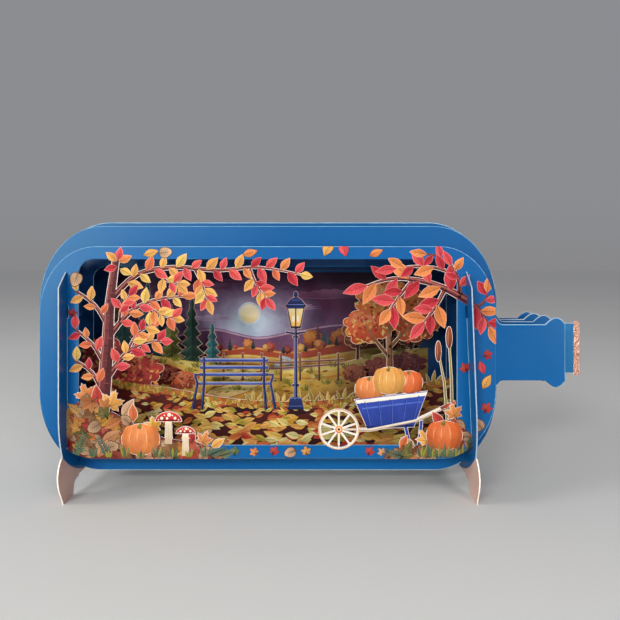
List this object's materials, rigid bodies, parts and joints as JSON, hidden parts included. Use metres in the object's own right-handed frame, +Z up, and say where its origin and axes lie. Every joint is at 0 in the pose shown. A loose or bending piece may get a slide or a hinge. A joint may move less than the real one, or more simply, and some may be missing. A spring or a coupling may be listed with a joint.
{
  "type": "greeting card",
  "caption": "Pop-up greeting card shaped as a bottle on its side: parallel die-cut card sheets with an autumn park scene, held by two cross struts with feet.",
  "frame": {"origin": "centre of the bounding box at table level", "axes": "+X along the bottle towards its neck, the picture faces -Y, +Z up"},
  "size_m": [0.2294, 0.086, 0.1131],
  "materials": {
    "blue_card": "matte",
    "strut_card": "matte",
    "glitter": "satin"
  },
  "bodies": {
    "root": {"front_frame": "blue_card", "front_neck": "blue_card", "second_layer": "blue_card", "third_layer": "blue_card", "back_panel": "blue_card", "glitter_band": "glitter", "left_strut": "strut_card", "right_strut": "strut_card"}
  },
  "joints": []
}
